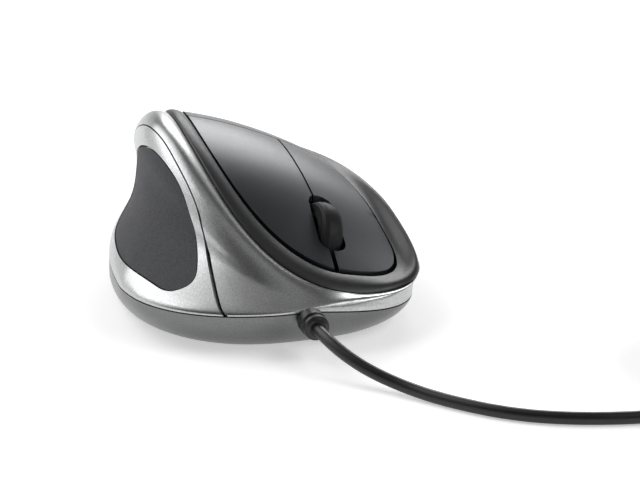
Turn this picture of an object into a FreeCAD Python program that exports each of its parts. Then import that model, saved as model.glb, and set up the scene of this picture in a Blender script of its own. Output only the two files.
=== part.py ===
import FreeCAD, Part
import Sketcher
import math
import os
import re

# Left-handed ergonomic mouse with a cord, in millimetres.
# +Z is up, the cord leaves towards -Y, the thumb side is -X.
# The origin is on the desk, under the middle of the mouse.

os.makedirs("parts", exist_ok=True)
doc = FreeCAD.newDocument("ergonomic_mouse")
Vec = FreeCAD.Vector

SIZES = [
    ("body_width", 80.0), ("body_length", 115.0), ("crest_height", 46.1),
    ("shell_wall", 2.0), ("seam_gap", 0.35), ("panel_gap", 0.35), ("cover_gap", 0.3),
    ("cover_wall", 2.0), ("lip_rise", 4.4), ("lip_reach", 5.4), ("ledge_width", 2.2),
    ("ledge_drop", 3.4), ("ledge_wall", 1.6), ("channel_front", 1.7), ("channel_side", 0.55),
    ("button_length", 61.5), ("button_gap", 0.6), ("split_x", 16.0),
    ("grip_inset", 0.5), ("grip_wall", 1.3), ("step_depth", 1.1),
    ("wheel_x", 16.5), ("wheel_inset", 31.0), ("wheel_radius", 11.5), ("wheel_width", 6.0),
    ("wheel_sink", 7.5), ("wheel_tilt", 19.0), ("wheel_clearance", 0.9), ("tyre_depth", 2.5),
    ("axle_radius", 1.25), ("running_clearance", 0.06), ("carrier_wall", 1.8),
    ("carrier_side_gap", 1.2), ("carrier_end", 2.6), ("wheel_travel", 0.5), ("guide_wall", 1.3),
    ("guide_gap", 0.3), ("encoder_width", 4.5), ("encoder_length", 8.0),
    ("hinge_inset", 5.2), ("hinge_offset", 5.0), ("hinge_depth", 5.6), ("hinge_tilt", 21.0),
    ("pin_radius", 0.8), ("pin_end", 0.8), ("lug_width", 3.2), ("arm_width", 2.4),
    ("thumb_lug_inset", 6.6), ("finger_lug_inset", 4.4), ("split_lug_inset", 3.7),
    ("floor_wall", 1.8), ("foot_thickness", 0.8), ("foot_length", 26.0), ("foot_width", 7.0),
    ("foot_recess", 0.4), ("foot_front_inset", 17.5), ("foot_rear_inset", 16.5),
    ("board_length", 76.0), ("board_width", 58.0), ("board_wall", 1.6), ("board_rise", 1.0),
    ("board_x", 3.0), ("board_inset", 15.5), ("board_corner", 9.0),
    ("switch_length", 12.8), ("switch_width", 5.8), ("switch_height", 5.8),
    ("switch_inset", 27.5), ("left_switch_x", 1.6), ("right_switch_x", 26.6),
    ("click_switch_height", 3.4), ("click_switch_width", 4.5),
    ("plunger_radius", 1.1), ("plunger_rise", 0.8), ("plunger_travel", 0.5), ("plunger_gap", 0.08),
    ("sensor_inset", 60.5), ("sensor_width", 10.0), ("sensor_length", 12.0), ("sensor_height", 3.2),
    ("lens_width", 15.0), ("lens_length", 19.0), ("lens_height", 0.9), ("lens_hole", 8.0),
    ("window_radius", 4.5), ("lamp_radius", 2.5), ("lamp_length", 6.0), ("lamp_inset", 11.5),
    ("connector_width", 9.0), ("connector_length", 5.0), ("connector_height", 5.0),
    ("capacitor_radius", 2.5), ("capacitor_height", 7.0), ("chip_width", 9.0), ("chip_height", 1.6),
    ("screw_radius", 1.0), ("screw_head_radius", 1.9), ("screw_head", 1.3), ("screw_length", 3.6),
    ("cord_radius", 1.6), ("relief_radius", 3.5), ("relief_length", 6.4), ("relief_gap", 0.3),
    ("relief_inner", 2.9), ("exit_height", 9.4), ("exit_x", 1.8),
    ("coil_mean_radius", 18.0), ("coil_gap", 0.6), ("coil_x", 105.0),
    ("tie_wall", 0.7), ("tie_width", 5.0), ("tie_gap", 0.45),
    ("plug_width", 12.0), ("plug_height", 4.5), ("plug_length", 12.0), ("plug_wall", 0.4),
    ("plug_grip_width", 15.5), ("plug_grip_height", 8.0), ("plug_grip_length", 28.0),
]

sheet = doc.addObject("Spreadsheet::Sheet", "sizes")
for row, (alias, value) in enumerate(SIZES, start=1):
    sheet.set("A%d" % row, alias)
    sheet.set("B%d" % row, str(value))
    sheet.setAlias("B%d" % row, alias)
doc.recompute()


def size(alias):
    return float(sheet.get(alias))


exported = []


def keep(item, name):
    item.Label = name
    exported.append(item)
    return item


def solid_feature(name, shape, placement=None):
    """A freeform piece: its shape is computed here from the sheet's sizes."""
    item = doc.addObject("Part::Feature", name)
    item.Shape = shape
    item.Placement = placement or FreeCAD.Placement()
    return keep(item, name)


# Natural spline through a few stations

def station_curve(stations):
    curve = Part.BSplineCurve()
    curve.interpolate(Points=[Vec(at, value, 0) for at, value in stations],
                      Parameters=[at for at, value in stations])
    first, last = stations[0][0], stations[-1][0]
    return lambda at: curve.value(min(max(at, first), last)).y


# Each freeform point is given on a body 80 wide, 115 long and 46.1 high, and stretched to the
# sheet's overall sizes
stretch_x = size("body_width") / 80
stretch_y = size("body_length") / 115
stretch_z = size("crest_height") / 46.1

# The top falls from the thumb side to the little finger: crown height, roll and bow per station
crown = station_curve([(-64, 11.4), (-44, 20.3), (-28, 28.0), (-12, 35.2), (4, 39.6), (20, 40.6),
                       (36, 36.8), (52, 29.0), (64, 21.6)])
roll = station_curve([(-64, 0.06), (-44, 0.19), (-28, 0.28), (-12, 0.33), (20, 0.33), (36, 0.29),
                      (64, 0.18)])
bow = station_curve([(-64, 0.0014), (-44, 0.0014), (-28, 0.0016), (4, 0.0034), (20, 0.0046),
                     (64, 0.0036)])


def top_height(x, y):
    across, along = x / stretch_x, y / stretch_y
    return stretch_z * (crown(along) - roll(along) * across - bow(along) * across * across)


# Closed rings with four extreme points: front, little finger side, back and thumb side
RING_POINTS = 40
HEIGHT_POWER = (1.2, 3, 1.6, 1.6)
QUARTER = RING_POINTS // 4


def ring_share():
    """How much each of the four extreme points weighs at every ring point."""
    shares = []
    for quadrant in range(4):
        for step in range(QUARTER):
            far = math.sin(step / QUARTER * math.pi / 2) ** 2
            share = [0.0] * 4
            share[quadrant] = 1 - far
            share[(quadrant + 1) % 4] = far
            shares.append(share)
    return shares


SHARES = ring_share()


def ring(front, finger, back, thumb, fullness):
    """Superellipse quadrants between the extreme points; heights blend between them."""
    ends = [front, finger, back, thumb]
    points = []
    for quadrant in range(4):
        start, end = ends[quadrant], ends[(quadrant + 1) % 4]
        power = fullness[quadrant]
        for step in range(QUARTER):
            turn = step / QUARTER * math.pi / 2
            radius = (math.cos(turn) ** power + math.sin(turn) ** power) ** (-1 / power)
            near, far = math.cos(turn) * radius, math.sin(turn) * radius
            if quadrant % 2 == 0:
                x = start[0] + (end[0] - start[0]) * far
                y = end[1] + (start[1] - end[1]) * near
            else:
                x = end[0] + (start[0] - end[0]) * near
                y = start[1] + (end[1] - start[1]) * far
            z = start[2] + (end[2] - start[2]) * math.sin(turn) ** HEIGHT_POWER[quadrant]
            points.append(Vec(x * stretch_x, y * stretch_y, z * stretch_z))
    return points


def around(points, index):
    return points[index % len(points)]


def plan_normals(points):
    normals = []
    for index in range(len(points)):
        along = around(points, index + 1) - around(points, index - 1)
        normals.append(Vec(along.y, -along.x, 0).normalize())
    return normals


def blend(values, index):
    return sum(share * value for share, value in zip(SHARES[index], values))


def skin_inward(row, level):
    """Inward directions at a ring: level at the parting line, steeper towards the rim edge,
    but always level on the little finger's side."""
    directions = []
    for index, normal in enumerate(plan_normals(row)):
        slant = math.radians(75) * level * (1 - SHARES[index][1])
        directions.append(Vec(-normal.x * math.cos(slant), -normal.y * math.cos(slant),
                              -math.sin(slant)))
    return directions


def inset_rows(rows, depth):
    top = len(rows) - 1
    return [[point + inward * depth for point, inward in zip(row, skin_inward(row, level / top))]
            for level, row in enumerate(rows)]


def control_points(points):
    """Poles of the closed cubic curve that passes through the points."""
    poles = [Vec(point) for point in points]
    for _ in range(40):
        poles = [(points[i] * 6 - around(poles, i - 1) - around(poles, i + 1)) * 0.15
                 + poles[i] * 0.4 for i in range(len(points))]
    return poles


def ring_surface(rows):
    """One face through closed rings: cubic along each ring, smooth or ruled across them."""
    poles = [control_points(row) for row in rows]
    count, levels = len(poles[0]), len(poles)
    degree = min(3, levels - 1)
    inner = levels - degree - 1
    surface = Part.BSplineSurface()
    surface.buildFromPolesMultsKnots(
        [[poles[level][index] for level in range(levels)] for index in range(count)],
        [1] * (count + 1), [degree + 1] + [1] * inner + [degree + 1],
        list(range(count + 1)), list(range(inner + 2)), True, False, 3, degree)
    return surface.toShape()


def closed_solid(faces):
    shell = Part.makeShell(faces)
    shell.sewShape(0.001)
    solid = Part.makeSolid(shell)
    if solid.Volume < 0:
        solid.reverse()
    return solid


def ring_solid(strips):
    """A solid from strips of rings, each strip starting on the last ring of the one before."""
    return closed_solid([ring_surface(strip) for strip in strips])


def flat_face(points):
    """A flat face inside a closed ring."""
    poles = control_points(points)
    curve = Part.BSplineCurve()
    count = len(poles)
    curve.buildFromPolesMultsKnots(poles, [1] * (count + 1), list(range(count + 1)), True, 3)
    return Part.Face(Part.Wire(curve.toShape()))


def plan_prism(points, low, high):
    """An upright prism over a closed ring in plan."""
    flat = flat_face([Vec(point.x, point.y, low) for point in points])
    return flat.extrude(Vec(0, 0, high - low))


# Opening of the rim that the buttons and the palm cover lie in
opening = ring((15.2, -46, 0), (34.2, -24, 0), (4.2, 46, 0), (-11, 6, 0), (3.0, 2.2, 2.3, 2.05))
opening_normals = plan_normals(opening)


def rim_row(outward, lift, finger_height=None, fade=2.3):
    """A ring that follows the opening: distances and heights at front, finger, back, thumb."""
    row = []
    for index, (point, normal) in enumerate(zip(opening, opening_normals)):
        shares = list(SHARES[index])
        if QUARTER <= index < 2 * QUARTER:
            shares[1] = shares[1] ** fade
            shares[2] = 1 - shares[1]
        reach = blend(outward, index)
        rise = sum(share * value for share, value in zip(shares, lift))
        x, y = point.x + normal.x * reach, point.y + normal.y * reach
        height = top_height(x, y) + rise
        if finger_height:
            pull = SHARES[index][1] ** (0.5 if index < QUARTER else 1)
            height += (finger_height * stretch_z - height) * pull
        row.append(Vec(x, y, height))
    return row


lip, reach = size("lip_rise"), size("lip_reach")
rim_band = [
    rim_row((0, 0, 0, 0), (-0.2, -0.2, -0.2, -0.2)),
    rim_row((1.2, 1.2, 1.2, 0.8), (0.2, 0.0, 0.2, 0.2)),
    rim_row((3.4, reach * 0.56, 3, 2.0), (0.4, lip * 0.41, 0.2, 0.4)),
    rim_row((5.0, reach, 4.4, 3.4), (0.2, lip, -0.2, 0.2)),
    rim_row((6.2, reach + 0.8, 5.4, 4.0), (-0.5, lip - 3.4, -1.2, 0.0)),
    rim_row((6.6, reach, 5.8, 4.4), (-0.6, lip - 3.4, -2.2, -0.4), finger_height=12.6),
]
rim_edge = rim_band[-1]
for point, foot in zip(rim_band[-2], rim_edge):
    point.z = max(point.z, foot.z + 0.4)

# Silver skin from the parting line up to the rim: shelf, thumb hollow, bulge and crest
frame_rows = [
    ring((2.2, -57.5, 11.6), (39.4, 0, 6), (0, 57.5, 9), (-40, -22, 11.3), (3.5, 2.3, 1.7, 2.2)),
    ring((2.2, -57.6, 12.1), (39.6, 0, 7.2), (0, 57.5, 11.5), (-40.8, -23, 13.6), (3.5, 2.3, 1.7, 2.2)),
    ring((3.2, -57.5, 12.5), (39.7, 0, 8.3), (0, 57, 14), (-31.5, -12.5, 19.5), (3.4, 2.3, 1.7, 2.1)),
    ring((5.2, -57.2, 12.8), (39.7, -2, 9.3), (0, 56, 17.3), (-26.4, 0, 28.6), (3.3, 2.3, 1.9, 1.9)),
    ring((8.2, -56.8, 13.1), (39.7, -5, 10.2), (0, 54.9, 20.6), (-25.3, 4, 34.1), (3.2, 2.3, 2, 1.9)),
    ring((11.2, -56.2, 13.3), (39.7, -9, 11), (1, 53.9, 23), (-27.2, 4.4, 40.3), (3, 2.3, 2.1, 1.9)),
    ring((13.2, -55, 13.5), (39.7, -15, 11.8), (2.5, 52.8, 25), (-20.8, 4.6, 48.4), (3, 2.3, 2.2, 1.9)),
    rim_edge,
]
seam = frame_rows[0]

# Silver base from the flat floor out to the parting line
underside = size("foot_thickness") - size("foot_recess")
base_rows = [
    ring((3.2, -49.3, 0.8), (35.7, 0, 0.8), (0, 51, 0.8), (-35.2, -2, 0.8), (3, 2.2, 1.9, 2.5)),
    ring((3.2, -50.8, 1.2), (37.2, 0, 1.2), (0, 53, 1.2), (-36.8, -6, 1.4), (3, 2.2, 1.9, 2.5)),
    ring((3.2, -54.5, 3.8), (39, 1, 2.6), (0, 55.5, 3.5), (-38.8, -15, 4.5), (3.1, 2.2, 1.8, 2.4)),
    ring((2.2, -57, 8.8), (39.4, 1, 4.4), (0, 57.2, 7), (-40, -21, 9), (3.4, 2.3, 1.72, 2.3)),
    seam,
]
for point in base_rows[0]:
    point.z = underside


def level_row(row, height):
    return [Vec(point.x, point.y, height) for point in row]


def shifted(row, by):
    return [point + by for point in row]


def plan_inset(row, depth):
    return [point - normal * depth for point, normal in zip(row, plan_normals(row))]


wall = size("shell_wall")
tall, wide, far = 2 * size("crest_height"), size("body_width"), size("body_length")


# Upper frame

def frame_shell(outer_depth, inner_depth):
    """The silver skin between two depths below its outer surface."""
    outer = inset_rows(frame_rows, outer_depth)
    inner = inset_rows(frame_rows, inner_depth)
    return ring_solid([outer, [outer[-1], inner[-1]], inner[::-1], [inner[0], outer[0]]])


def grown(outline, by):
    """The outline moved outward by a distance, for a gap round an inset piece."""
    count = len(outline)
    result = []
    for index, (y, z) in enumerate(outline):
        y0, z0 = outline[index - 1]
        y1, z1 = outline[(index + 1) % count]
        length = math.hypot(y1 - y0, z1 - z0)
        result.append((y + (z1 - z0) / length * by, z - (y1 - y0) / length * by))
    return result


# Thumb panel and grip outlines, drawn on a plane that faces the thumb hollow, as (forward, upward)
FACING, FORWARD = Vec(-0.75, -0.433, 0.5), Vec(0.5, -0.866, 0)
UPWARD = FACING.cross(FORWARD)
panel_outline = [(-49, 6), (-47.5, 12), (-42.6, 20.2), (-37.3, 26), (-31.4, 29.2), (-24.6, 30.4),
                 (-17.4, 29.9), (-5.9, 26), (0.6, 22.2), (9.2, 16.1), (14.8, 10.4), (18.5, 4.4),
                 (25.3, -3.1), (34.3, -10.6), (40, -16), (30, -24), (0, -26), (-30, -12)]
step_edge = [(12, 13.6), (15.1, 10.9), (18.9, 4.9), (22.7, 1), (26.7, -2.6), (30.6, -6.2),
             (35, -9.9), (42, -15.2)]
grip_outline = [(-32.9, 14.5), (-30.2, 19.6), (-25, 23), (-18.2, 24.5), (-12, 24.1), (-1.6, 20.5),
                (7.9, 14), (14.3, 5.8), (20.4, -2.2), (22.4, -7), (20.1, -9.9), (14.5, -10),
                (5, -8.4), (-8, -5.6), (-19, -1.6), (-27.6, 2.8), (-31.8, 8)]


def facing_point(forward, upward, outward=58):
    point = FACING * outward + FORWARD * forward + UPWARD * upward
    return Vec(point.x * stretch_x, point.y * stretch_y, point.z * stretch_z)


def thumb_side_prism(edges):
    """A prism that runs straight into the thumb side from a wire on the facing plane."""
    inward = facing_point(0, 0, -3) - facing_point(0, 0)
    return Part.Face(Part.Wire(edges)).extrude(inward)


def smooth_outline(outline):
    curve = Part.BSplineCurve()
    curve.interpolate(Points=[facing_point(*place) for place in outline], PeriodicFlag=True)
    return thumb_side_prism([curve.toShape()])


gap = size("panel_gap")
full_frame = frame_shell(0, wall)
panel_prism = smooth_outline(panel_outline)
panel_space = smooth_outline(grown(panel_outline, -gap))
# Along the front of the panel the frame stands back further in its outer half, as a shallow step
edge = Part.BSplineCurve()
edge.interpolate([facing_point(*place) for place in step_edge])
behind = [facing_point(*step_edge[-1]), facing_point(30, -24), facing_point(*step_edge[0])]
step_space = thumb_side_prism([edge.toShape()] + [
    Part.makeLine(start, end) for start, end in zip(behind, behind[1:])])
step_space = step_space.common(frame_shell(-1, size("step_depth")))
exit_hole = Part.makeCylinder(size("relief_radius") - 0.6 + 0.1, 20,
                              Vec(size("exit_x"), -size("body_length") / 2 - 8, size("exit_height")),
                              Vec(0, 1, 0))
solid_feature("upper_frame", full_frame.cut([panel_space, step_space, exit_hole]))

grip_depth = size("grip_inset") + size("grip_wall")
grip_prism = smooth_outline(grip_outline)
grip_pocket = frame_shell(-1, grip_depth).common(smooth_outline(grown(grip_outline, -gap)))
thumb_panel = full_frame.common(panel_prism).cut(grip_pocket)
solid_feature("thumb_panel", thumb_panel)
solid_feature("thumb_grip", frame_shell(size("grip_inset") * 0.4, grip_depth - 0.05).common(grip_prism))

# Rim round the buttons: band, inner wall and the ledge under the palm cover
ledge_drop, ledge_wall = size("ledge_drop"), size("ledge_wall")
fit = size("cover_gap")


def top_offset_row(outward, drops):
    row = []
    for index, (point, normal) in enumerate(zip(opening, opening_normals)):
        x, y = point.x + normal.x * outward, point.y + normal.y * outward
        row.append(Vec(x, y, top_height(x, y) - blend(drops, index)))
    return row


frame_in = skin_inward(rim_edge, 1)
skin_up = [(top - under).normalize() for top, under in zip(frame_rows[-1], frame_rows[-2])]
edge_in = [point + (up + Vec(0, 0, 0.4)) * fit for point, up in zip(rim_edge, skin_up)]
edge_in_low = [point + inward * wall + (up - normal * 2) * fit
               for point, inward, up, normal in zip(edge_in, frame_in, skin_up,
                                                    plan_normals(rim_edge))]
band = rim_band[:-1] + [edge_in]
seat_drop = size("cover_wall") + 0.15
drops = (ledge_drop, ledge_drop, seat_drop, ledge_drop)
deep = tuple(drop + ledge_wall for drop in drops)
wall_foot = top_offset_row(0, drops)
rim_strips = [
    band,
    [edge_in, edge_in_low],
    [edge_in_low, top_offset_row(1.2, deep)],
    [top_offset_row(1.2, deep), top_offset_row(-size("ledge_width"), deep)],
    [top_offset_row(-size("ledge_width"), deep), top_offset_row(-size("ledge_width"), drops)],
    [top_offset_row(-size("ledge_width"), drops), wall_foot],
    [wall_foot, rim_band[0]],
]
solid_feature("rim", ring_solid(rim_strips))

# Palm cover and the two buttons: one top skin, cut along the channel, the split and the wheel

COLUMNS, ROWS = 9, 13


def top_skin(thickness, below=0):
    low_x, high_x = -26 * stretch_x, 42 * stretch_x
    low_y, high_y = -56 * stretch_y, 58 * stretch_y
    grid = []
    for column in range(COLUMNS):
        x = low_x + (high_x - low_x) * column / (COLUMNS - 1)
        line = []
        for station in range(ROWS):
            y = low_y + (high_y - low_y) * station / (ROWS - 1)
            line.append(Vec(x, y, top_height(x, y) - below))
        grid.append(line)
    surface = Part.BSplineSurface()
    surface.interpolate(grid)
    return surface.toShape().extrude(Vec(0, 0, -thickness))


def tilted(origin, degrees):
    return FreeCAD.Placement(origin, FreeCAD.Rotation(Vec(0, 1, 0), degrees))


def top_normal(x, y):
    step = 0.5
    slope_x = (top_height(x + step, y) - top_height(x - step, y)) / (2 * step)
    slope_y = (top_height(x, y + step) - top_height(x, y - step)) / (2 * step)
    return Vec(-slope_x, -slope_y, 1).normalize()


front_end = -far / 2
wheel_x, wheel_y = size("wheel_x"), front_end + size("wheel_inset")
wheel_radius, wheel_width = size("wheel_radius"), size("wheel_width")
wheel_top = Vec(wheel_x, wheel_y, top_height(wheel_x, wheel_y))
wheel_centre = wheel_top - top_normal(wheel_x, wheel_y) * size("wheel_sink")
wheel_frame = tilted(wheel_centre, size("wheel_tilt"))

clear = size("wheel_clearance")
slot_half = wheel_width / 2 + clear
slot_front, slot_back = -wheel_radius - clear - 1.1, wheel_radius * 0.74
slot = Part.makeBox(2 * slot_half, slot_back - slot_front - 2 * slot_half, tall,
                    Vec(-slot_half, slot_front + slot_half, 0))
slot = slot.fuse([Part.makeCylinder(slot_half, tall, Vec(0, slot_front + slot_half, 0)),
                  Part.makeCylinder(slot_half, tall, Vec(0, slot_back - slot_half, 0))])
slot.Placement = wheel_frame

channel = (size("channel_front"), size("channel_side"), size("channel_side"), size("channel_side"))
cover_outline = [point - normal * blend(channel, index)
                 for index, (point, normal) in enumerate(zip(opening, opening_normals))]
cover_front = min(point.y for point in cover_outline)
button_back = cover_front + size("button_length")
button_gap, split_x = size("button_gap"), size("split_x")
front_split = Part.makeBox(2 * button_gap, far, tall, Vec(-button_gap, -far, 0))
front_split.Placement = FreeCAD.Placement(Vec(split_x - 0.4, wheel_y, -5),
                                          FreeCAD.Rotation(Vec(0, 0, 1), -7))
back_split = Part.makeBox(button_gap, button_back - wheel_y, tall,
                          Vec(split_x - button_gap / 2, wheel_y, -5))
back_gap = Part.makeBox(2 * wide, button_gap, tall, Vec(-wide, button_back - button_gap / 2, -5))
skin = top_skin(size("cover_wall")).common(plan_prism(cover_outline, -5, tall))
plates = skin.cut([slot, front_split, back_split, back_gap]).Solids
plates = sorted(plates, key=lambda piece: piece.Volume)[-3:]
palm_plate = max(plates, key=lambda piece: piece.CenterOfMass.y)
buttons = sorted([piece for piece in plates if piece is not palm_plate],
                 key=lambda piece: piece.CenterOfMass.x)

# Hinge: one pin carried by the palm cover's arms, through lugs under the buttons' back edges
cover_wall = size("cover_wall")
hinge_x, hinge_y = split_x - size("hinge_offset"), button_back - size("hinge_inset")
hinge_point = Vec(hinge_x, hinge_y, top_height(hinge_x, hinge_y) - size("hinge_depth"))
hinge_frame = tilted(hinge_point, size("hinge_tilt"))
pin_radius, lug_width = size("pin_radius"), size("lug_width")
arm_width = size("arm_width")
running = size("running_clearance")
lug_foot = pin_radius + 1.2
# Lugs and arms reach up into the middle of the cover's wall
under_cover = top_skin(tall, cover_wall / 2)


def cover_edges(y):
    """Where the cover's outline crosses a line at y, on its thumb side and its finger side."""
    crossings = []
    for first, last in zip(cover_outline, cover_outline[1:] + cover_outline[:1]):
        if (first.y - y) * (last.y - y) < 0:
            share = (y - first.y) / (last.y - first.y)
            crossings.append(first.x + (last.x - first.x) * share)
    return min(crossings), max(crossings)


def along_pin(x):
    return (x - hinge_x) / math.cos(math.radians(size("hinge_tilt")))


thumb_edge, finger_edge = cover_edges(hinge_y)
split_lug = size("split_lug_inset")
LUGS = {"left_button": (along_pin(thumb_edge + size("thumb_lug_inset")), along_pin(split_x - split_lug)),
        "right_button": (along_pin(split_x + split_lug), along_pin(finger_edge - size("finger_lug_inset")))}
first_lug, last_lug = LUGS["left_button"][0], LUGS["right_button"][1]
ARMS = (first_lug + lug_width / 2 + arm_width / 2 + 0.8,
        (LUGS["left_button"][1] + LUGS["right_button"][0]) / 2, sum(LUGS["right_button"]) / 2)


def placed(shape, placement):
    shape.Placement = placement
    return shape


def across_pin(centre, width, back, front, low, high):
    return Part.makeBox(width, back - front, high - low, Vec(centre - width / 2, front, low))


def pin_bore(radius):
    return Part.makeCylinder(radius, wide, Vec(-wide / 2, 0, 0), Vec(1, 0, 0))


def button_with_lugs(plate, name, switch_x):
    lugs = []
    for centre in LUGS[name]:
        lug = across_pin(centre, lug_width, 2.4, -2.4, -lug_foot, tall / 4)
        lugs.append(placed(lug.cut(pin_bore(pin_radius + running)), hinge_frame).common(under_cover))
    tip = plunger_top + size("plunger_gap")
    rib = Part.makeCylinder(1.7, tall, Vec(switch_x, switch_y, tip)).common(under_cover)
    return plate.fuse(lugs + [rib])


underside_z = size("foot_thickness") - size("foot_recess")
floor_top = underside_z + size("floor_wall")
board_bottom = floor_top + size("board_rise")
board_top = board_bottom + size("board_wall")
plunger_top = board_top + size("switch_height") + size("plunger_rise")
switch_y, sensor_y = front_end + size("switch_inset"), front_end + size("sensor_inset")
for plate, name, side in zip(buttons, ("left_button", "right_button"),
                             ("left_switch_x", "right_switch_x")):
    solid_feature(name, button_with_lugs(plate, name, size(side)))

# The arms pass under the buttons' back edge and rise into the palm cover behind it
arms = []
arm_back = button_back - hinge_y + 4.6
under_buttons = top_skin(tall, cover_wall + 0.4)
for centre in ARMS:
    arm = across_pin(centre, arm_width, arm_back, -2.2, -lug_foot, 1.5)
    root = across_pin(centre, arm_width, arm_back, button_back - hinge_y + 0.8, -lug_foot, tall / 4)
    arm = placed(arm, hinge_frame).common(under_buttons).fuse(placed(root, hinge_frame))
    arms.append(arm.cut(placed(pin_bore(pin_radius), hinge_frame)).common(under_cover))
solid_feature("palm_cover", palm_plate.fuse(arms))

# Base shell with its flat floor
base_outer = base_rows[:-1] + [shifted(seam, Vec(0, 0, -size("seam_gap")))]
base_inner = [level_row(plan_inset(base_rows[1], wall), floor_top)]
base_inner += [plan_inset(row, wall) for row in base_outer[2:]]
base_faces = [ring_surface(base_outer), ring_surface([base_outer[-1], base_inner[-1]]),
              ring_surface(base_inner), flat_face(base_inner[0]), flat_face(base_outer[0])]
base_solid = closed_solid(base_faces)


# Bound pieces: an expression may name any size of the sheet

ALIASES = {alias for alias, value in SIZES}


def bound(text):
    return re.sub(r"[a-z_]+", lambda word: "sizes." + word.group()
                  if word.group() in ALIASES else word.group(), str(text))


def value(text):
    return float(eval_cell(bound(text)))


def eval_cell(expression):
    result = sheet.evalExpression(expression)
    return getattr(result, "Value", result)


def bind(item, properties):
    for name, expression in properties.items():
        item.setExpression(name, bound(expression))


def block(name, width, length, height, x="0", y="0", z="0"):
    """A box: width along X, length along Y, height, plan centre and foot height."""
    item = doc.addObject("Part::Box", name)
    bind(item, {"Length": width, "Width": length, "Height": height,
                "Placement.Base.x": "(%s) - (%s) / 2" % (x, width),
                "Placement.Base.y": "(%s) - (%s) / 2" % (y, length),
                "Placement.Base.z": z})
    return item


TURNS = {"x": FreeCAD.Rotation(Vec(0, 1, 0), 90), "y": FreeCAD.Rotation(Vec(1, 0, 0), -90),
         "z": FreeCAD.Rotation()}


def rod(name, radius, length, x="0", y="0", z="0", along="z"):
    """A cylinder that starts at a point and runs along +X, +Y or +Z."""
    item = doc.addObject("Part::Cylinder", name)
    item.Placement = FreeCAD.Placement(Vec(), TURNS[along])
    bind(item, {"Radius": radius, "Height": length, "Placement.Base.x": x,
                "Placement.Base.y": y, "Placement.Base.z": z})
    return item


def fused(name, pieces):
    item = doc.addObject("Part::MultiFuse", name)
    item.Shapes = pieces
    return item


def cut(name, body, tools):
    tool = tools[0] if len(tools) == 1 else fused(name + "_tools", tools)
    item = doc.addObject("Part::Cut", name)
    item.Base, item.Tool = body, tool
    return item


def profile(body, outline, corner=None):
    """A closed sketch on the body's XY plane: points in the first quadrant, bound by expressions."""
    sketch = body.newObject("Sketcher::SketchObject", body.Name + "_profile")
    plane = [face for face in body.Origin.OriginFeatures if face.Role == "XY_Plane"][0]
    sketch.AttachmentSupport = [(plane, "")]
    sketch.MapMode = "FlatFace"
    corners = [Vec(value(along), value(out), 0) for along, out in outline]
    count = len(corners)
    for index in range(count):
        sketch.addGeometry(Part.LineSegment(corners[index], corners[(index + 1) % count]))
    for index in range(count):
        sketch.addConstraint(Sketcher.Constraint("Coincident", index, 2, (index + 1) % count, 1))
    for index, pair in enumerate(outline):
        for kind, axis, text in (("DistanceX", -2, pair[0]), ("DistanceY", -1, pair[1])):
            if text == "0":
                sketch.addConstraint(Sketcher.Constraint("PointOnObject", index, 1, axis))
            else:
                number = sketch.addConstraint(
                    Sketcher.Constraint(kind, -1, 1, index, 1, value(text)))
                sketch.setExpression("Constraints[%d]" % number, bound(text))
    return sketch


def turned(name, outline, placement=None):
    """A body turned about X from an outline of (along, radius) expressions."""
    body = doc.addObject("PartDesign::Body", name)
    sketch = profile(body, outline)
    turn = body.newObject("PartDesign::Revolution", name + "_turn")
    turn.Profile = sketch
    turn.ReferenceAxis = (sketch, ["H_Axis"])
    turn.Angle = 360
    body.Placement = placement or FreeCAD.Placement()
    return body


def padded(name, outline, height, placement=None):
    """A body of a flat outline and a height."""
    body = doc.addObject("PartDesign::Body", name)
    pad = body.newObject("PartDesign::Pad", name + "_pad")
    pad.Profile = profile(body, outline)
    pad.setExpression("Length", bound(height))
    body.Placement = placement or FreeCAD.Placement()
    return body


FRONT = "(-body_length / 2)"
SWITCH_Y = "(%s + switch_inset)" % FRONT
SENSOR_Y = "(%s + sensor_inset)" % FRONT
BOARD_Y = "(%s + board_inset + board_length / 2)" % FRONT
UNDERSIDE = "(foot_thickness - foot_recess)"
FLOOR = "(foot_thickness - foot_recess + floor_wall)"
BOARD = "(foot_thickness - foot_recess + floor_wall + board_rise)"
DECK = "(foot_thickness - foot_recess + floor_wall + board_rise + board_wall)"

# Feet: flat glides in shallow recesses of the floor
feet = []
for name, place in (("front_foot", "(%s + foot_front_inset)" % FRONT),
                    ("rear_foot", "(body_length / 2 - foot_rear_inset)")):
    middle = block(name + "_middle", "foot_length - foot_width", "foot_width", "foot_thickness",
                   y=place)
    ends = [rod(name + "_end_%d" % (side + 1), "foot_width / 2", "foot_thickness",
                x="%d * (foot_length - foot_width) / 2" % side, y=place) for side in (-1, 1)]
    feet.append(keep(fused(name, [middle] + ends), name))

# Circuit board: clipped corners, slot for the wheel, hole over the lens, four screw holes
wide_end, long_end = "board_width - board_corner", "board_length - board_corner"
board = padded("board_plate", [
    ("board_corner", "0"), (wide_end, "0"), ("board_width", "board_corner"),
    ("board_width", long_end), (wide_end, "board_length"), ("board_corner", "board_length"),
    ("0", long_end), ("0", "board_corner")], "board_wall")
bind(board, {"Placement.Base.x": "board_x - board_width / 2",
             "Placement.Base.y": BOARD_Y + " - board_length / 2", "Placement.Base.z": BOARD})
screw_points = [(size("board_x") + across * (size("board_width") / 2 - 4), y)
                for across, y in ((-1, switch_y + 1), (1, switch_y + 13),
                                  (-1, value(BOARD_Y) + 30), (1, value(BOARD_Y) + 28))]
lean = math.radians(size("wheel_tilt"))
slot_x = wheel_centre.x - wheel_radius * math.sin(lean)
holes = [block("wheel_slot", "wheel_width + 4", "wheel_radius + 8", "20", slot_x, wheel_centre.y),
         block("lens_opening", "lens_hole", "lens_hole", "20", y=SENSOR_Y)]
for number, (x, y) in enumerate(screw_points):
    holes.append(rod("board_hole_%d" % number, "screw_radius + 0.15", "20", x, y))
keep(cut("board_cut", board, holes), "circuit_board")
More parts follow.
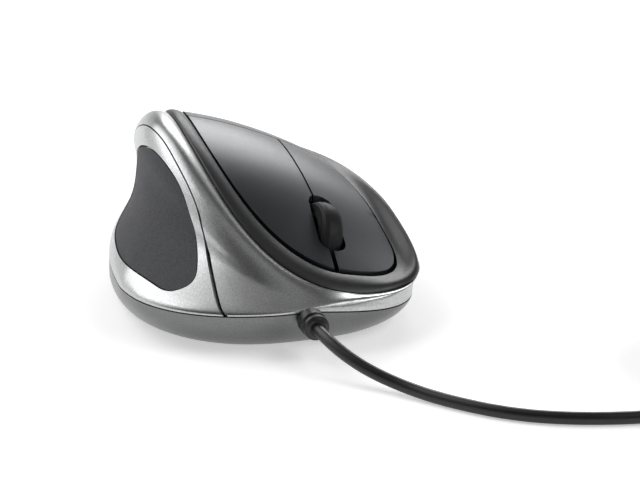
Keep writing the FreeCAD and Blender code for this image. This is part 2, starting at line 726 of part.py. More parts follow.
SCREW = [("0", "0"), ("0", "screw_radius"), ("screw_length", "screw_radius"),
         ("screw_length", "screw_head_radius"), ("screw_length + screw_head * 0.6", "screw_head_radius"),
         ("screw_length + screw_head", "screw_head_radius * 0.6"), ("screw_length + screw_head", "0")]
UPRIGHT = FreeCAD.Rotation(Vec(0, 1, 0), -90)
screws = [turned("screw_%d" % number, SCREW, FreeCAD.Placement(
    Vec(x, y, board_top - size("screw_length")), UPRIGHT))
    for number, (x, y) in enumerate(screw_points)]
group = doc.addObject("Part::Compound", "screw_group")
group.Links = screws
keep(group, "board_screws")

# Button switches with their plungers
PLUNGER = [("0", "0"), ("0", "plunger_radius"), ("plunger_rise + 1.1", "plunger_radius"),
           ("plunger_rise + 1.4", "plunger_radius - 0.3"), ("plunger_rise + 1.4", "0")]
for side in ("left", "right"):
    place = side + "_switch_x"
    case = block(side + "_switch_case", "switch_width", "switch_length", "switch_height",
                 place, SWITCH_Y, DECK)
    bore = rod(side + "_switch_bore", "plunger_radius + running_clearance", "9", place, SWITCH_Y,
               DECK + " + switch_height - 1.4 - plunger_travel - 0.2")
    keep(cut(side + "_switch_cut", case, [bore]), side + "_switch")
    keep(turned(side + "_plunger", PLUNGER, FreeCAD.Placement(
        Vec(size(place), switch_y, plunger_top - size("plunger_rise") - 1.4), UPRIGHT)),
        side + "_switch_plunger")

# Optical sensor, its lens over the floor window, the lamp in its clip, and board parts
keep(block("sensor", "sensor_width", "sensor_length", "sensor_height", y=SENSOR_Y, z=DECK),
     "optical_sensor")
lens = [block("lens_flange", "lens_width", "lens_length", "lens_height", y=SENSOR_Y, z=FLOOR),
        block("lens_riser", "lens_hole - 0.4", "lens_hole - 0.4", "lens_height + board_wall",
              y=SENSOR_Y, z=FLOOR),
        rod("lens_barrel", "window_radius - 0.3", "floor_wall", y=SENSOR_Y,
            z=UNDERSIDE + " + 0.4")]
keep(fused("lens_body", lens), "lens")
LAMP = [("0", "0"), ("0", "lamp_radius"), ("lamp_length - 1.8", "lamp_radius"),
        ("lamp_length - 0.7", "lamp_radius * 0.8"), ("lamp_length", "lamp_radius * 0.35"),
        ("lamp_length", "0")]
lamp_z = board_top + size("lamp_radius") + 0.9
BACKWARD = FreeCAD.Rotation(Vec(0, 0, 1), -90)
lamp_foot = Vec(0, sensor_y + size("lamp_inset") + 3, lamp_z)
keep(turned("lamp", LAMP, FreeCAD.Placement(lamp_foot, BACKWARD)), "led")
clip = block("clip_block", "lamp_radius * 2 + 3", "lamp_length - 2", "lamp_radius * 2 + 1.8",
             y=SENSOR_Y + " + lamp_inset + 1", z=DECK)
clip_bore = rod("clip_bore", "lamp_radius + 0.05", "20", y=SENSOR_Y + " + lamp_inset - 10",
                z=DECK + " + lamp_radius + 0.9", along="y")
keep(cut("clip_cut", clip, [clip_bore]), "led_clip")
keep(block("connector", "connector_width", "connector_length", "connector_height",
           "board_x - board_width / 4 + 1",
           BOARD_Y + " - board_length / 2 + connector_length / 2 + 0.5", DECK), "cable_connector")
keep(rod("capacitor_can", "capacitor_radius", "capacitor_height", "board_x - board_width / 4",
         SENSOR_Y + " + 14", DECK), "capacitor")
keep(block("chip", "chip_width", "chip_width", "chip_height", "board_x - board_width / 4",
           SENSOR_Y + " - 14", DECK), "controller_chip")

# Wheel: rubber tyre on a webbed hub with its axle, in the tilted frame
TYRE_IN = "wheel_radius - tyre_depth"
tyre_start = Vec(-wheel_width / 2, 0, 0)
TYRE = [("0", TYRE_IN), ("0", "wheel_radius - 1.1"), ("wheel_width * 0.12", "wheel_radius - 0.5"),
        ("wheel_width * 0.3", "wheel_radius - 0.1"), ("wheel_width * 0.5", "wheel_radius"),
        ("wheel_width * 0.7", "wheel_radius - 0.1"), ("wheel_width * 0.88", "wheel_radius - 0.5"),
        ("wheel_width", "wheel_radius - 1.1"), ("wheel_width", TYRE_IN)]
keep(turned("tyre", TYRE, wheel_frame * FreeCAD.Placement(tyre_start, FreeCAD.Rotation())),
     "wheel_tyre")
axle_left = wheel_width / 2 + size("carrier_side_gap") + size("carrier_wall")
MID = "(wheel_width / 2 + carrier_side_gap + carrier_wall)"
BORE = "axle_radius"
RIM = "wheel_radius - tyre_depth - 1.6"
HUB = [("0", "0"), ("0", BORE), (MID + " - wheel_width / 2 - 0.6", BORE),
       (MID + " - wheel_width / 2 - 0.6", BORE + " + 2"), (MID + " - 1", BORE + " + 2"),
       (MID + " - 1", RIM), (MID + " - wheel_width / 2 + 0.2", RIM),
       (MID + " - wheel_width / 2 + 0.2", TYRE_IN), (MID + " + wheel_width / 2 - 0.2", TYRE_IN),
       (MID + " + wheel_width / 2 - 0.2", RIM), (MID + " + 1", RIM), (MID + " + 1", BORE + " + 2"),
       (MID + " + wheel_width / 2 + 0.6", BORE + " + 2"), (MID + " + wheel_width / 2 + 0.6", BORE),
       (MID + " * 2 + encoder_width - 0.6", BORE), (MID + " * 2 + encoder_width - 0.6", "0")]
keep(turned("hub", HUB, wheel_frame * FreeCAD.Placement(Vec(-axle_left, 0, 0), FreeCAD.Rotation())),
     "wheel_hub")

# Carrier: a frame round the wheel with two axle arms, sliding in two guides on the board
CARRIER_TOP, CARRIER_LOW = -2.4, -5.2
inner_half = wheel_width / 2 + size("carrier_side_gap")
outer_half = inner_half + size("carrier_wall")
inner_end = wheel_radius + clear
outer_end = inner_end + size("carrier_end")


def centred_box(half_x, front, back, low, high):
    return Part.makeBox(2 * half_x, back - front, high - low, Vec(-half_x, front, low))


axle_bore = Part.makeCylinder(size("axle_radius") + running, 60, Vec(-30, 0, 0), Vec(1, 0, 0))
carrier = centred_box(outer_half, -outer_end, outer_end, CARRIER_LOW, CARRIER_TOP)
carrier = carrier.fuse(centred_box(outer_half, -3, 3, CARRIER_LOW, 2.4))
carrier = carrier.cut([centred_box(inner_half, -inner_end, inner_end, CARRIER_LOW - 1, 4), axle_bore])
solid_feature("wheel_carrier", carrier, wheel_frame)
half = size("encoder_length") / 2
encoder = Part.makeBox(size("encoder_width"), 2 * half, 2.6 - CARRIER_LOW,
                       Vec(outer_half, -half, CARRIER_LOW))
solid_feature("wheel_encoder", encoder.cut(axle_bore), wheel_frame)

above_board = Part.makeBox(2 * wide, 2 * far, tall, Vec(-wide, -far, board_top))
pocket_floor = CARRIER_LOW - size("plunger_gap") - size("plunger_rise") - size("click_switch_height")
guide_gap, guide_wall = size("guide_gap"), size("guide_wall")
pocket_half, pocket_end = outer_half + guide_gap, outer_end + guide_gap
for name, turn in (("front_guide", 0), ("rear_guide", 180)):
    guide = centred_box(pocket_half + guide_wall, -pocket_end - guide_wall, -inner_end - 0.6,
                        -30, CARRIER_TOP - 1.5)
    guide = guide.cut(centred_box(pocket_half, -pocket_end, 0, pocket_floor, 5))
    guide.rotate(Vec(), Vec(0, 0, 1), turn)
    guide.Placement = wheel_frame * guide.Placement
    solid_feature(name, guide.common(above_board))

click_y = -(inner_end + outer_end) / 2
case = Part.makeBox(size("click_switch_width"), 3.0, size("click_switch_height"),
                    Vec(-size("click_switch_width") / 2, click_y - 1.5, pocket_floor))
bore_depth = 1.4 + size("wheel_travel") + 0.2
bore_foot = pocket_floor + size("click_switch_height") - bore_depth
case = case.cut(Part.makeCylinder(size("plunger_radius") + running, 9, Vec(0, click_y, bore_foot)))
solid_feature("wheel_switch", case, wheel_frame)
plunger_foot = pocket_floor + size("click_switch_height") - 1.4
keep(turned("wheel_plunger", PLUNGER, wheel_frame * FreeCAD.Placement(
    Vec(0, click_y, plunger_foot), UPRIGHT)), "wheel_switch_plunger")

print("wheel centre", wheel_centre, "hinge", hinge_point)

# Hinge pin
pin_reach = lug_width / 2 + size("pin_end")
pin = doc.addObject("Part::Cylinder", "hinge_pin")
bind(pin, {"Radius": "pin_radius", "Height": "%r" % (last_lug - first_lug + 2 * pin_reach)})
pin.Placement = hinge_frame * FreeCAD.Placement(Vec(first_lug - pin_reach, 0, 0), TURNS["x"])
keep(pin, "button_hinge_pin")

# Strain relief: flange behind the wall, neck through it, stubby collar with a lip outside
GRIPPED = "(shell_wall + relief_inner)"
NECK = "(relief_radius - 0.6)"
END = "(1.2 + %s + relief_length)" % GRIPPED
RELIEF = [("0", "0"), ("0", "relief_radius"), ("1.2", "relief_radius"), ("1.2", NECK),
          ("1.2 + " + GRIPPED, NECK), ("1.2 + " + GRIPPED, "relief_radius"),
          (END + " - 3.2", "relief_radius"), (END + " - 2.9", "relief_radius - 0.5"),
          (END + " - 2.1", "relief_radius - 0.5"), (END + " - 1.8", "relief_radius - 0.1"),
          (END + " - 0.9", "relief_radius - 0.2"), (END + " - 0.5", "cord_radius + 0.9"),
          (END, "cord_radius + 0.6"), (END, "0")]
OUTWARD = FreeCAD.Rotation(Vec(0, 0, 1), -90)
relief_foot = front_end + size("shell_wall") + size("relief_inner") + 1.2 - size("relief_gap")
relief_tip = relief_foot - value(END)
relief = turned("relief", RELIEF, FreeCAD.Placement(
    Vec(size("exit_x"), relief_foot, size("exit_height")), OUTWARD))
top_flat = block("relief_top_flat", "relief_radius * 3", "relief_inner + shell_wall + 1.2",
                 "relief_radius", "exit_x", "%r - (relief_inner + shell_wall + 1.2) / 2 + 0.1" % relief_foot,
                 "exit_height + 1")
keep(cut("relief_cut", relief, [top_flat]), "strain_relief")

# Cord: straight runs joined by tangent arcs, from the strain relief to the coil
cord_radius = size("cord_radius")


def rounded_path(points):
    """Straight runs and tangent arcs; each radius is 0.45 of the shorter run over tan(half turn)."""
    edges, radii, start = [], [], points[0]
    for before, corner, after in zip(points, points[1:], points[2:]):
        back, onward = (before - corner), (after - corner)
        reach = 0.45 * min(back.Length, onward.Length)
        back.normalize()
        onward.normalize()
        half_turn = (math.pi - back.getAngle(onward)) / 2
        radius = reach / math.tan(half_turn)
        inside = (back + onward).normalize()
        middle = corner + inside * (radius / math.cos(half_turn) - radius)
        edges.append(Part.LineSegment(start, corner + back * reach).toShape())
        edges.append(Part.Arc(corner + back * reach, middle, corner + onward * reach).toShape())
        start = corner + onward * reach
        radii.append(radius)
    edges.append(Part.LineSegment(start, points[-1]).toShape())
    return Part.Wire(edges), radii


def tube(path, start, direction, name):
    section = Part.Wire(Part.Circle(start, direction, cord_radius).toShape())
    solid = path.makePipeShell([section], True, False)
    expected = math.pi * cord_radius ** 2 * path.Length
    print(name, "length", round(path.Length, 1), "volume over section times length",
          round(solid.Volume / expected, 4))
    return solid


coil_pitch = 2 * cord_radius + size("coil_gap")
half_step = coil_pitch / 2
first_radius = size("coil_mean_radius") + 2.5 * half_step
lead = 2 * cord_radius
CORD_JOIN_Y = -124.5
coil_x, coil_y = size("coil_x"), CORD_JOIN_Y + first_radius
tie_wall, tie_gap = size("tie_wall"), size("tie_gap")
coil_foot = cord_radius + tie_wall + tie_gap
cord_points = [Vec(size("exit_x"), relief_tip, size("exit_height")),
               Vec(size("exit_x"), relief_tip - 5, size("exit_height")), Vec(4.7, -76.0, 7.0),
               Vec(9.2, -82.2, 4.5),
               Vec(15.4, -88.4, 2.3), Vec(21, -95.6, cord_radius), Vec(27.2, -103.1, cord_radius),
               Vec(34, -109.7, cord_radius), Vec(42.4, -115.2, cord_radius), Vec(54, -119.8, cord_radius),
               Vec(67.5, -122.9, cord_radius), Vec(83, CORD_JOIN_Y, coil_foot),
               Vec(coil_x - lead, CORD_JOIN_Y, coil_foot)]
cord_path, cord_radii = rounded_path(cord_points)
print("cord radii", [round(radius, 1) for radius in cord_radii])
solid_feature("cord", tube(cord_path, cord_points[0], cord_points[1] - cord_points[0], "cord"))


# Coil: four layers of three loops, spiralling in, out, in and out again

def biarc(start, leaving, end, arriving):
    """Two equal tangent arcs for a half turn between two points with given directions."""
    reach = (end - start).Length / 2
    near, far = start + leaving * reach, end - arriving * reach
    joint = (near + far) * 0.5
    edges = []
    for first, corner, last in ((start, near, joint), (joint, far, end)):
        spread = (corner - first).getAngle(last - corner) / 2
        weight = math.cos(spread)
        middle = (first + corner * (2 * weight) + last) * (1 / (2 + 2 * weight))
        edges.append(Part.Arc(first, middle, last).toShape())
    return edges


layer_rise = coil_pitch - 0.05
LAYERS, HALF_TURNS = 4, 6
stations = [(first_radius, coil_foot)]
inward = -1
for layer in range(LAYERS):
    for step in range(HALF_TURNS):
        radius, height = stations[-1]
        climbs = step == HALF_TURNS - 1 and layer < LAYERS - 1
        double = step == 0 and layer > 0
        radius += inward * half_step * (2 if double else 1)
        stations.append((radius, height + (layer_rise if climbs else 0)))
    inward = -inward
coil_edges = []
coil_at = []
for number, (radius, height) in enumerate(stations):
    side = -1 if number % 2 == 0 else 1
    coil_at.append((Vec(coil_x, coil_y + side * radius, height), Vec(-side, 0, 0)))
coil_start = coil_at[0][0] - Vec(lead, 0, 0)
coil_end = coil_at[-1][0] + Vec(lead, 0, 0)
coil_edges.append(Part.LineSegment(coil_start, coil_at[0][0]).toShape())
for (start, leaving), (end, arriving) in zip(coil_at, coil_at[1:]):
    coil_edges += biarc(start, leaving, end, arriving)
coil_edges.append(Part.LineSegment(coil_at[-1][0], coil_end).toShape())
coil_path = Part.Wire(coil_edges)
points = coil_path.discretize(Distance=2.0)
near = 1e9
for index, point in enumerate(points):
    for other in points[index + 12:]:
        near = min(near, (point - other).Length)
print("coil least gap to itself", round(near - 2 * cord_radius, 3), "loops",
      LAYERS * HALF_TURNS / 2)
solid_feature("cord_coil", tube(coil_path, coil_start, Vec(1, 0, 0), "cord_coil"))

# Tie: a strap with rounded corners round the bundle, on the coil's far side
across_coil = [radius for radius, height in stations[1::2]]
low_y = coil_y + min(across_coil) - cord_radius - tie_gap
high_y = coil_y + max(across_coil) + cord_radius + tie_gap
high_z = stations[-1][1] + cord_radius + tie_gap


def strap_block(grow):
    solid = Part.makeBox(size("tie_width"), high_y - low_y + 2 * grow, high_z - tie_wall + 2 * grow,
                         Vec(coil_x - size("tie_width") / 2, low_y - grow, tie_wall - grow))
    upright = [edge for edge in solid.Edges if abs(edge.tangentAt(edge.FirstParameter).x) > 0.99]
    return solid.makeFillet(cord_radius + tie_gap + grow, upright)


solid_feature("cord_tie", strap_block(tie_wall).cut(strap_block(0)))

# Far end: a short lead comes down from the coil to the plug lying on the desk
grip_z = size("plug_grip_height") / 2
plug_x, plug_y = coil_x + 38, coil_y + 26
far_points = [coil_end, coil_end + Vec(13, 0, 0), Vec(coil_x + 31, coil_y - 16, 10),
              Vec(coil_x + 37.6, coil_y - 2, 6.6), Vec(plug_x, coil_y + 12.5, grip_z),
              Vec(plug_x, plug_y, grip_z)]
far_path, far_radii = rounded_path(far_points)
print("plug lead radii", [round(radius, 1) for radius in far_radii])
solid_feature("plug_lead", tube(far_path, far_points[0], far_points[1] - far_points[0], "plug_lead"))

# Plug: moulded grip, metal shell and the contact tongue inside it
grip = padded("plug_grip", [("2", "0"), ("plug_grip_width - 2", "0"), ("plug_grip_width", "4"),
                            ("plug_grip_width", "plug_grip_length"), ("0", "plug_grip_length"),
                            ("0", "4")], "plug_grip_height")
bind(grip, {"Placement.Base.x": "coil_x + 38 - plug_grip_width / 2"})
grip.Placement.Base.y = plug_y
keep(grip, "usb_plug_grip")
shell_y = plug_y + size("plug_grip_length")
shell = block("plug_tube", "plug_width", "plug_length", "plug_height", "coil_x + 38",
              "%r + plug_length / 2" % shell_y, "plug_grip_height / 2 - plug_height / 2")
space = block("plug_space", "plug_width - plug_wall * 2", "plug_length", "plug_height - plug_wall * 2",
              "coil_x + 38", "%r + plug_length / 2 + 1" % shell_y,
              "plug_grip_height / 2 - plug_height / 2 + plug_wall")
keep(cut("plug_shell", shell, [space]), "usb_plug_shell")
keep(block("plug_board", "plug_width - plug_wall * 2 - 0.6", "plug_length - 1.8",
           "plug_height / 2 - plug_wall - 0.1", "coil_x + 38",
           "%r + 1 + (plug_length - 1.8) / 2" % shell_y, "plug_grip_height / 2 + 0.1"),
     "usb_plug_tongue")

print("plug tip at", Vec(plug_x, shell_y + size("plug_length"), grip_z))
doc.recompute()

bosses = [Part.makeCylinder(2.7, size("board_rise") + 0.5, Vec(x, y, floor_top - 0.5))
          for x, y in screw_points]
screw_bores = [Part.makeCylinder(size("screw_radius"), 2 * size("screw_length"),
                                 Vec(x, y, board_top - size("screw_length")))
               for x, y in screw_points]
window = Part.makeCylinder(size("window_radius"), 6, Vec(0, sensor_y, -1))
recesses = [foot.Shape.copy() for foot in feet]
base_cut = base_solid.fuse(bosses).cut(screw_bores + [window, exit_hole] + recesses)
solid_feature("base_shell", base_cut)

doc.recompute()
for item in doc.Objects:
    if "Invalid" in item.State or "Error" in item.State:
        raise RuntimeError("%s failed: %s" % (item.Label, item.State))
for item in exported:
    shape = item.Shape
    if shape.isNull() or not shape.isValid():
        raise RuntimeError("%s has no valid shape" % item.Label)
for item in exported:
    print(item.Label, len(item.Shape.Solids), "solid", round(item.Shape.Volume), "mm3")
    item.Shape.exportStep("parts/%s.step" % item.Label)
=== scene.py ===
import bpy
import math
from mathutils import Matrix, Vector


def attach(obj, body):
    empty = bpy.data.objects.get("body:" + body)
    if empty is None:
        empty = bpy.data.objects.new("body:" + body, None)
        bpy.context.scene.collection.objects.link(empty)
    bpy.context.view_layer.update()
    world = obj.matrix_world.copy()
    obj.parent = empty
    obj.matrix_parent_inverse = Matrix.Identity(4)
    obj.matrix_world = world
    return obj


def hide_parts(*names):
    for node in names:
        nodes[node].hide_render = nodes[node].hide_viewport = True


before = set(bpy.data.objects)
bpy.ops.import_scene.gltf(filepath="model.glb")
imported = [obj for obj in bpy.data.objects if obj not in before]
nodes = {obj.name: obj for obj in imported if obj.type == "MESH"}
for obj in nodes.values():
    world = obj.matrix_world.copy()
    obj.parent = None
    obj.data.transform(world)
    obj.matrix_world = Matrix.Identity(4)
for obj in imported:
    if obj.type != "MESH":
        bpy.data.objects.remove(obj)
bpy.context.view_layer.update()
scene = bpy.context.scene

# Camera: 560 mm from the mouse, 18 degrees to its left, 20 degrees above the desk
AZIMUTH, ELEVATION, DISTANCE = math.radians(-18), math.radians(20), 0.560
SENSOR_WIDTH, FOCAL_LENGTH = 36, 122.6
target = Vector((0.0075, -0.04823, 0.02731))
back = Vector((math.sin(AZIMUTH) * math.cos(ELEVATION), -math.cos(AZIMUTH) * math.cos(ELEVATION),
               math.sin(ELEVATION)))
right = Vector((math.cos(AZIMUTH), math.sin(AZIMUTH), 0))
up = back.cross(right)
camera_data = bpy.data.cameras.new("camera")
camera_data.sensor_width = SENSOR_WIDTH
camera_data.lens = FOCAL_LENGTH
camera_data.clip_start = 0.01
camera = bpy.data.objects.new("camera", camera_data)
scene.collection.objects.link(camera)
turn = Matrix((right, up, back)).transposed().to_4x4()
camera.matrix_world = Matrix.Translation(target + back * DISTANCE) @ turn
scene.camera = camera

# Cord: the route of the solid cord, the coil's turns and the lead to the plug. The radius is in
# metres, and the places and lengths of the route are in millimetres.
CORD_RADIUS = 0.0016
COIL_FOOT = 2.75
COIL_X, COIL_MEAN_RADIUS, COIL_PITCH = 105.0, 18.0, 3.8
LAYER_RISE = COIL_PITCH - 0.05
COIL_LAYERS, HALF_TURNS_PER_LAYER, POINTS_PER_HALF_TURN = 4, 6, 8
JOIN_Y = -124.5
GRIP_Z = 4.0

route = [(1.8, -64.2, 9.4), (1.8, -69.2, 9.4), (4.7, -76.0, 7.0), (9.2, -82.2, 4.5),
         (15.4, -88.4, 2.3), (21, -95.6, 1.6), (27.2, -103.1, 1.6), (34, -109.7, 1.6),
         (42.4, -115.2, 1.6), (54, -119.8, 1.6), (67.5, -122.9, 1.6), (83, JOIN_Y, COIL_FOOT)]

# Each half turn starts on the coil's middle line, at one of these radii and heights
half_step = COIL_PITCH / 2
first_radius = COIL_MEAN_RADIUS + 2.5 * half_step
coil_y = JOIN_Y + first_radius
stations = [(first_radius, COIL_FOOT)]
inward = -1
for layer in range(COIL_LAYERS):
    for half_turn in range(HALF_TURNS_PER_LAYER):
        radius, height = stations[-1]
        climbs = half_turn == HALF_TURNS_PER_LAYER - 1 and layer < COIL_LAYERS - 1
        radius += inward * half_step * (2 if half_turn == 0 and layer > 0 else 1)
        stations.append((radius, height + (LAYER_RISE if climbs else 0)))
    inward = -inward

for number, ((r0, z0), (r1, z1)) in enumerate(zip(stations, stations[1:])):
    side = -1 if number % 2 == 0 else 1
    middle = coil_y + side * (r0 - r1) / 2
    reach = (r0 + r1) / 2 / math.cos(math.pi / (2 * POINTS_PER_HALF_TURN))
    for point in range(POINTS_PER_HALF_TURN):
        angle = math.pi * ((point + 0.5) / POINTS_PER_HALF_TURN)
        rise = (1 - math.cos(angle)) / 2
        route.append((COIL_X - side * math.sin(angle) * reach,
                      middle + side * math.cos(angle) * reach, z0 + (z1 - z0) * rise))

last_radius, last_height = stations[-1]
end_x, end_y = COIL_X + 3.2, coil_y - last_radius
plug_x, plug_y = COIL_X + 38, coil_y + 26
route += [(end_x, end_y, last_height), (end_x + 13, end_y, last_height),
          (COIL_X + 31, coil_y - 16, 10), (COIL_X + 37.6, coil_y - 2, 6.6),
          (plug_x, coil_y + 12.5, GRIP_Z), (plug_x, plug_y, GRIP_Z)]


def round_curve(name, points, radius):
    """A round NURBS tube led by control points in millimetres, with its radius in metres."""
    data = bpy.data.curves.new(name, "CURVE")
    data.dimensions = "3D"
    data.bevel_depth = 1
    data.bevel_resolution = 6
    data.resolution_u = 8
    data.use_fill_caps = True
    spline = data.splines.new("NURBS")
    spline.points.add(len(points) - 1)
    for point, (x, y, z) in zip(spline.points, points):
        point.co = (x / 1000, y / 1000, z / 1000, 1)
        point.radius = radius
    spline.use_endpoint_u = True
    spline.order_u = 3
    spline.resolution_u = 8
    item = bpy.data.objects.new(name, data)
    scene.collection.objects.link(item)
    return item


cord = round_curve("cord_run", route, CORD_RADIUS)
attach(cord, "case")
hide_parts("cord", "cord_coil", "plug_lead")


# Materials: where the noise ramps begin and end, how coarse the roughness is beside the colour,
# and how strong the fine bumps are
LOW_STOP, HIGH_STOP = 0.3, 0.7
ROUGHNESS_SCALE = 0.37
BUMP_STRENGTH = 0.6


def material(name):
    made = bpy.data.materials.new(name)
    made.use_nodes = True
    tree = made.node_tree
    return made, tree, tree.nodes["Principled BSDF"]


def noise(tree, scale, detail=2.0):
    place = tree.nodes.new("ShaderNodeTexCoord")
    texture = tree.nodes.new("ShaderNodeTexNoise")
    texture.inputs["Scale"].default_value = scale
    texture.inputs["Detail"].default_value = detail
    tree.links.new(place.outputs["Object"], texture.inputs["Vector"])
    return texture.outputs["Fac"]


def ramp(tree, source, stops):
    """A colour ramp whose stops are (position, colour) or (position, grey level)."""
    node = tree.nodes.new("ShaderNodeValToRGB")
    tree.links.new(source, node.inputs["Fac"])
    elements = node.color_ramp.elements
    while len(elements) < len(stops):
        elements.new(0.5)
    for element, (at, colour) in zip(elements, stops):
        element.position = at
        element.color = (*colour, 1) if isinstance(colour, tuple) else (colour,) * 3 + (1,)
    return node.outputs["Color"]


def finish(name, colour, spread, scale, rough, rough_spread, grain, grain_scale, metallic=0.0,
           specular=0.5, tinge=(1, 1, 1)):
    """A moulded, painted or metal surface with slight colour, roughness and grain variation.

    spread is the share by which the colour varies, scale and grain_scale are counts per metre,
    and grain is the height of the fine bumps in metres.
    """
    made, tree, shader = material(name)
    low = tuple(part * (1 - spread) for part in colour)
    high = tuple(min(part * (1 + spread), 1) for part in colour)
    tint = ramp(tree, noise(tree, scale, 3), [(LOW_STOP, low), (HIGH_STOP, high)])
    tree.links.new(tint, shader.inputs["Base Color"])
    level = ramp(tree, noise(tree, scale * ROUGHNESS_SCALE),
                 [(LOW_STOP, rough - rough_spread), (HIGH_STOP, rough + rough_spread)])
    tree.links.new(level, shader.inputs["Roughness"])
    shader.inputs["Metallic"].default_value = metallic
    shader.inputs["Specular IOR Level"].default_value = specular
    shader.inputs["Specular Tint"].default_value = (*tinge, 1)
    bump = tree.nodes.new("ShaderNodeBump")
    bump.inputs["Distance"].default_value = grain
    bump.inputs["Strength"].default_value = BUMP_STRENGTH
    tree.links.new(noise(tree, grain_scale), bump.inputs["Height"])
    tree.links.new(bump.outputs["Normal"], shader.inputs["Normal"])
    return made


silver = finish("silver_paint", (0.50, 0.504, 0.507), 0.27, 3600, 0.31, 0.02,
                0.000015, 3200, metallic=0.97)
# Painted shade: the base shell gets a darker copy of the silver paint, standing in for the shade
# and dim floor reflection it takes low down near the floor
shaded_base_silver = finish("base_paint_painted_shade", (0.190, 0.192, 0.194), 0.20, 3600, 0.32, 0.02,
                     0.000015, 3200, metallic=0.97)
graphite = finish("graphite_satin", (0.008, 0.0095, 0.0125), 0.06, 2600, 0.34, 0.02,
                  0.00001, 4200, specular=0.8, tinge=(0.93, 0.955, 1))
rim_black = finish("rim_matte", (0.0065, 0.007, 0.008), 0.08, 2200, 0.44, 0.03,
                   0.00002, 3600, specular=0.7)
grip_rubber = finish("grip_rubber", (0.072, 0.073, 0.078), 0.26, 2400, 0.72, 0.05,
                     0.00008, 2600, specular=0.35)
tyre_rubber = finish("tyre_rubber", (0.006, 0.006, 0.007), 0.1, 1500, 0.55, 0.05,
                     0.00003, 2600, specular=0.3)
cord_black = finish("cord_jacket", (0.007, 0.007, 0.008), 0.1, 900, 0.40, 0.04, 0.00002, 2400)
black_plastic = finish("black_plastic", (0.02, 0.02, 0.022), 0.1, 900, 0.45, 0.05, 0.00002, 2600)
foot_plastic = finish("glide_plastic", (0.05, 0.05, 0.055), 0.1, 700, 0.30, 0.08, 0.00002, 1800)
board_green = finish("board_lacquer", (0.02, 0.16, 0.06), 0.15, 300, 0.35, 0.05, 0.00003, 900)
steel = finish("plain_steel", (0.62, 0.62, 0.62), 0.05, 700, 0.28, 0.06, 0.00001, 1900,
               metallic=1.0)
pale_plastic = finish("pale_plastic", (0.72, 0.70, 0.64), 0.05, 600, 0.45, 0.05, 0.00002, 1800)
can_metal = finish("can_aluminium", (0.60, 0.60, 0.62), 0.05, 500, 0.3, 0.05, 0.00001, 1500,
                   metallic=1.0)
lamp_red = finish("lamp_red", (0.55, 0.03, 0.02), 0.06, 500, 0.15, 0.03, 0.00001, 900)
clear = finish("clear_lens", (0.85, 0.88, 0.90), 0.02, 400, 0.08, 0.02, 0.00001, 500)
clear.node_tree.nodes["Principled BSDF"].inputs["Transmission Weight"].default_value = 0.9

LOOKS = {
    silver: ("upper_frame", "thumb_panel"),
    shaded_base_silver: ("base_shell",),
    grip_rubber: ("thumb_grip",),
    rim_black: ("rim",),
    graphite: ("left_button", "right_button", "palm_cover"),
    tyre_rubber: ("wheel_tyre",),
    black_plastic: ("wheel_hub", "wheel_carrier", "front_guide", "rear_guide", "led_clip",
                    "left_switch", "right_switch", "wheel_switch", "wheel_encoder",
                    "optical_sensor", "controller_chip"),
    foot_plastic: ("front_foot", "rear_foot"),
    board_green: ("circuit_board",),
    steel: ("board_screws", "button_hinge_pin", "usb_plug_shell"),
    pale_plastic: ("left_switch_plunger", "right_switch_plunger", "wheel_switch_plunger",
                   "cable_connector", "usb_plug_tongue"),
    can_metal: ("capacitor",),
    lamp_red: ("led",),
    clear: ("lens",),
    cord_black: ("strain_relief", "usb_plug_grip", "cord_tie"),
}
for look, names in LOOKS.items():
    for name in names:
        item = nodes[name]
        if not item.data.materials:
            item.data.materials.append(look)
        for place in item.material_slots:
            place.link = "OBJECT"
            place.material = look
cord.data.materials.append(cord_black)


# Floor: white paper that takes the shadows, with some light of its own for the rays that show it
FLOOR_SIZE, FLOOR_LIFT = 12, 0.45


def seen_rays(tree):
    """1 for the rays that show the background: camera, glossy and transmission rays."""
    paths = tree.nodes.new("ShaderNodeLightPath")
    result = paths.outputs["Is Camera Ray"]
    for name in ("Is Glossy Ray", "Is Transmission Ray"):
        node = tree.nodes.new("ShaderNodeMath")
        node.operation = "MAXIMUM"
        tree.links.new(result, node.inputs[0])
        tree.links.new(paths.outputs[name], node.inputs[1])
        result = node.outputs[0]
    return result


def glow(tree, strength):
    node = tree.nodes.new("ShaderNodeEmission")
    node.inputs["Strength"].default_value = strength
    return node.outputs[0]


bpy.ops.mesh.primitive_plane_add(size=FLOOR_SIZE, location=(0, 0, 0))
floor = bpy.context.object
floor.name = "floor"
paper, tree, shader = material("floor_paper")
shader.inputs["Base Color"].default_value = (0.95, 0.95, 0.95, 1)
shader.inputs["Roughness"].default_value = 0.9
shader.inputs["Specular IOR Level"].default_value = 0.1
lift = tree.nodes.new("ShaderNodeMixShader")
tree.links.new(seen_rays(tree), lift.inputs["Fac"])
tree.links.new(glow(tree, 0), lift.inputs[1])
tree.links.new(glow(tree, FLOOR_LIFT), lift.inputs[2])
total = tree.nodes.new("ShaderNodeAddShader")
tree.links.new(shader.outputs[0], total.inputs[0])
tree.links.new(lift.outputs[0], total.inputs[1])
tree.links.new(total.outputs[0], tree.nodes["Material Output"].inputs["Surface"])
floor.data.materials.append(paper)

# The room: a pale horizon that is dimmer at the back right, a tall pale wall behind the thumb's
# side, a pale patch straight behind, a faint ceiling, and dark elsewhere
world = bpy.data.worlds.new("studio")
scene.world = world
world.use_nodes = True
tree = world.node_tree
place = tree.nodes.new("ShaderNodeTexCoord")
parts = tree.nodes.new("ShaderNodeSeparateXYZ")
tree.links.new(place.outputs["Generated"], parts.inputs[0])


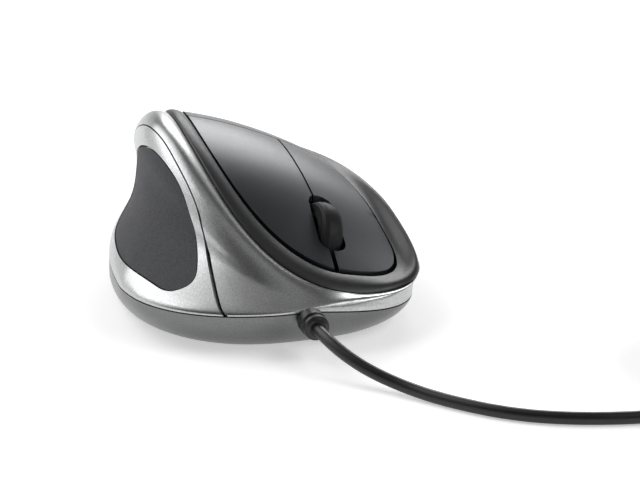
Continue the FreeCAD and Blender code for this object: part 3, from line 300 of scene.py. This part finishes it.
def toward(direction, stops):
    """Grey level by the cosine of the angle to a direction: 1 is straight at it."""
    node = tree.nodes.new("ShaderNodeVectorMath")
    node.operation = "DOT_PRODUCT"
    tree.links.new(place.outputs["Generated"], node.inputs[0])
    node.inputs[1].default_value = Vector(direction).normalized()
    return ramp(tree, node.outputs["Value"], stops)


def joined(first, second, kind):
    node = tree.nodes.new("ShaderNodeMix")
    node.data_type = "RGBA"
    node.blend_type = kind
    node.inputs["Factor"].default_value = 1
    tree.links.new(first, node.inputs["A"])
    tree.links.new(second, node.inputs["B"])
    return node.outputs["Result"]


horizon = ramp(tree, parts.outputs["Z"],
               [(0.0, 1.0), (0.14, 0.75), (0.26, 0.08), (0.5, 0.03), (0.88, 0.03), (0.97, 0.24)])
dimmer = toward((0.64, 0.77, 0.05), [(0.80, 1.0), (0.95, 0.35)])
wall = toward((-0.68, 0.50, 0.53), [(0.79, 0.0), (0.86, 0.95), (0.95, 1.0)])
patch = toward((0.44, 0.85, 0.40), [(0.90, 0.0), (0.97, 0.6), (1.0, 0.9)])
room = joined(horizon, dimmer, "MULTIPLY")
for lobe in (wall, patch):
    room = joined(room, lobe, "LIGHTEN")
background = tree.nodes["Background"]
tree.links.new(room, background.inputs["Color"])
background.inputs["Strength"].default_value = 1.0


def softbox(name, position, aim, width, height, power):
    """A rectangular lamp at a position, turned to the point it aims at: metres and watts."""
    data = bpy.data.lights.new(name, "AREA")
    data.shape = "RECTANGLE"
    data.size, data.size_y, data.energy = width, height, power
    lamp = bpy.data.objects.new(name, data)
    scene.collection.objects.link(lamp)
    lamp.location = position
    lamp.rotation_euler = (Vector(aim) - Vector(position)).to_track_quat("-Z", "Y").to_euler()


softbox("key_softbox", (-0.50, 0.59, 0.92), (0, 0, 0.02), 1.1, 1.1, 5.4)
softbox("back_softbox", (0.485, 0.985, 0.51), (0, 0, 0.03), 0.48, 0.45, 3.0)
softbox("side_softbox", (0.74, -0.40, 0.80), (0, 0, 0.02), 0.6, 0.6, 2.2)
softbox("front_softbox", (0.60, -0.66, 0.78), (0, 0, 0.02), 0.7, 0.5, 2.0)

scene.view_settings.view_transform = "Standard"
